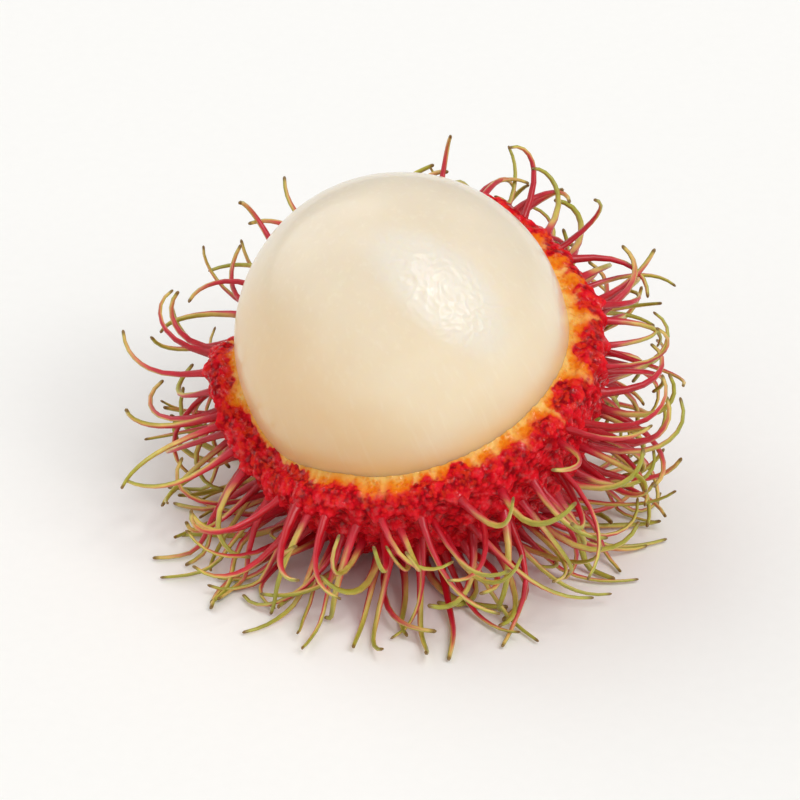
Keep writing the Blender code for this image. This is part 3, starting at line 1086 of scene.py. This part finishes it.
@dataclass
class HairCoat:
    """All the soft hairs of the husk, each a tapered tube along its own hooked path."""

    growth: HairGrowth
    finish: SoftHair = SoftHair()
    tones: Span = (0.55, 1.3)
    # Which points of a path the tube keeps, closer together where it hooks.
    kept: tuple[int, ...] = (0, 1, 4, 8, 12, 15, 17, 19, 21, 23, 25)
    tip_rounding: Pairs = ((0.15 * MM, 0.8), (0.26 * MM, 0.35))
    sides: int = 5
    flatness: float = 0.8
    girth: float = 0.87
    slimming: float = 0.15
    girth_spread: float = 0.16

    @cached_property
    def paths(self) -> list[Path]:
        """Every hair's path."""
        roots = [(index, self.growth.root(index)) for index in range(self.growth.lattice_points)]
        return [self.growth.path(index, direction) for index, direction in roots if direction is not None]

    def wires(self) -> Object:
        """One chain of edges for each hair, with its girth, its place along the hair and the hair's tone.

        Returns:
            The object that the tubes are made from.
        """
        rng = random.Random(self.growth.seed)
        rows, edges = [], []
        for path in self.paths:
            tone = rng.uniform(*self.tones)
            thickness = self.girth + rng.uniform(-self.girth_spread, self.girth_spread)
            turn = rng.uniform(0, 2 * math.pi)
            chain = []
            for point, share in (path[k] for k in self.kept):
                slimmed = 1.0 - self.slimming * share
                chain.append((point, share, self.growth.radius(share) * thickness * slimmed))
            (before, *_), (tip, _, end_girth) = chain[-2:]
            heading = (tip - before).normalized()
            for reach, narrowing in self.tip_rounding:
                chain.append((tip + heading * reach, 1.0, end_girth * narrowing))
            edges += [(k, k + 1) for k in range(len(rows), len(rows) + len(chain) - 1)]
            rows += [(*point, along, tone, girth, turn) for point, along, girth in chain]
        table = np.array(rows)
        traits = dict(zip((Trait.ALONG, Trait.TONE, Trait.GIRTH, Trait.TURN), table[:, 3:].T))
        return mesh_piece("soft_hairs", table[:, :3], [], traits, edges)

    def tubes(self, finish: Material) -> tuple[NodeTree, dict[str, str]]:
        """The Geometry Nodes tree that turns the chains into tubes.

        Args:
            finish: material of the tubes.

        Returns:
            The tree, and the identifier of each named input.
        """
        tree = bpy.data.node_groups.new("hair_tubes", "GeometryNodeTree")
        node = partial(add_node, tree)
        for way in ("INPUT", "OUTPUT"):
            tree.interface.new_socket("Geometry", in_out=way, socket_type="NodeSocketGeometry")
        inputs = {
            name: tree.interface.new_socket(name, in_out="INPUT", socket_type=kind).identifier
            for name, kind in (("Sides", "NodeSocketInt"), ("Flatness", "NodeSocketFloat"))
        }
        entry = node("NodeGroupInput").outputs
        chains = node("MeshToCurve", {"Mesh": entry["Geometry"]}, 0)
        turn, girth = (
            node("InputNamedAttribute", {"Name": trait.value}, "Attribute", data_type="FLOAT")
            for trait in (Trait.TURN, Trait.GIRTH)
        )
        rolled = node("SetCurveTilt", {0: chains, "Tilt": turn}, 0)
        circle = {"Resolution": entry["Sides"], "Radius": 1.0}
        ring = node("CurvePrimitiveCircle", circle, "Curve")
        oval = node("ShaderNodeCombineXYZ", (1.0, entry["Flatness"], 1.0), 0)
        profile = node("Transform", {"Geometry": ring, "Scale": oval}, 0)
        step = node("ShaderNodeMath", (2 * math.pi, entry["Sides"]), 0, operation="DIVIDE")
        number = node("InputIndex", out=0)
        angle = node("ShaderNodeMath", (number, step), 0, operation="MULTIPLY")
        side = node("ShaderNodeMath", (angle,), 0, operation="SINE")
        stored = {"Geometry": profile, "Name": Trait.RIDGE.value, "Value": side}
        marked = node("StoreNamedAttribute", stored, 0, data_type="FLOAT", domain="POINT")
        swept = {"Curve": rolled, "Profile Curve": marked, "Scale": girth, "Fill Caps": True}
        made = node("CurveToMesh", swept, 0)
        for kind in ("SetShadeSmooth", "RealizeInstances"):
            made = node(kind, {"Geometry": made}, 0)
        made = node("SetMaterial", {"Geometry": made, "Material": finish}, 0)
        node("NodeGroupOutput", {"Geometry": made})
        return tree, inputs

    def make(self) -> None:
        """Builds and dresses the hairs."""
        wires = self.wires()
        finish = self.finish.make()
        tree, inputs = self.tubes(finish)
        growing = wires.modifiers.new("hair_tubes", "NODES")
        growing.node_group = tree
        growing[inputs["Sides"]] = self.sides
        growing[inputs["Flatness"]] = self.flatness
        seen = wires.evaluated_get(bpy.context.evaluated_depsgraph_get())
        mesh = bpy.data.meshes.new_from_object(seen)
        wires.modifiers.remove(growing)
        wires.data = mesh
        add_piece(wires, "husk", finish)


# ---- studio


@dataclass(frozen=True)
class Studio:
    """A sheet of pale paper under a soft sky, with broad softboxes and strip lamps for the highlights."""

    paper: MattPaper = MattPaper()
    floor_size: float = 6.0
    floor_drop: float = 0.02 * MM
    sky: str = "#FFFFFF"
    sky_strength: float = 0.425
    # Name, direction from the fruit, how wide it looks in degrees, and watts on a square metre.
    lamps: tuple[tuple[str, Triple, float, float], ...] = (
        ("front_softbox", (0.48, -0.5, 0.72), 50.0, 1.02),
        ("strip_upper", (0.194, -0.143, 0.97), 12.0, 0.22),
        ("strip_middle", (0.362, -0.385, 0.848), 12.0, 0.2),
        ("strip_lower", (0.568, -0.538, 0.626), 12.0, 0.3),
        ("front_glint", (0.362, -0.385, 0.848), 5.0, 0.1),
        ("side_fill", (-0.7, -0.5, 0.4), 60.0, 0.35),
        ("back_softbox", (-0.62, 0.5, 0.6), 60.0, 0.8),
    )

    def floor(self) -> None:
        """Lays the paper that the fruit lies on."""
        half, z = self.floor_size / 2, -self.floor_drop
        corners = np.array([(-half, -half, z), (half, -half, z), (half, half, z), (-half, half, z)])
        floor = mesh_piece("studio_floor", corners, [(0, 1, 2, 3)], {})
        floor.data.materials.append(self.paper.make())

    def light(self) -> None:
        """Sets the sky and the lamps."""
        world = bpy.data.worlds.new("studio_sky")
        world.use_nodes = True
        feed(world.node_tree.nodes["Background"], {"Color": linear(self.sky), "Strength": self.sky_strength})
        scene = bpy.context.scene
        scene.world = world
        for name, direction, spread, power in self.lamps:
            lamp = bpy.data.lights.new(name, "SUN")
            lamp.energy = power
            lamp.angle = math.radians(spread)
            stand = bpy.data.objects.new(name, lamp)
            stand.rotation_mode = "QUATERNION"
            stand.rotation_quaternion = Vector(direction).to_track_quat("Z", "Y")
            scene.collection.objects.link(stand)
        scene.view_settings.view_transform = "Standard"


@dataclass(frozen=True)
class ViewPoint:
    """Where the fruit is seen from: from the front, looking down a little."""

    elevation: float = math.radians(30.0)
    distance: float = 0.412
    lens: float = 170.0
    height: float = 0.0152
    nearest: float = 0.01

    def place(self) -> None:
        """Creates the camera and makes it the scene's."""
        low, high = (Vector(corner) for corner in cad_bounds)
        target = Vector(((low.x + high.x) / 2, (low.y + high.y) / 2, self.height))
        back = Vector((0.0, -math.cos(self.elevation), math.sin(self.elevation)))
        data = bpy.data.cameras.new("front_camera")
        data.lens = self.lens
        data.clip_start = self.nearest
        camera = bpy.data.objects.new("front_camera", data)
        camera.location = target + back * self.distance
        camera.rotation_mode = "QUATERNION"
        camera.rotation_quaternion = back.to_track_quat("Z", "Y")
        bpy.context.scene.collection.objects.link(camera)
        bpy.context.scene.camera = camera


def main() -> None:
    """Builds the flesh, the husk and its hairs, then the studio and the camera."""
    logging.basicConfig(level=logging.INFO, format="%(name)s: %(message)s")
    fruit = Fruit()
    growth = HairGrowth(fruit)
    coat = HairCoat(growth)
    log.info("%d hairs grow on the husk", len(coat.paths))
    FleshBall(fruit).make()
    HuskCup(growth, [path[1][0] for path in coat.paths]).make()
    coat.make()
    studio = Studio()
    studio.floor()
    studio.light()
    ViewPoint().place()


if __name__ == "__main__":
    main()
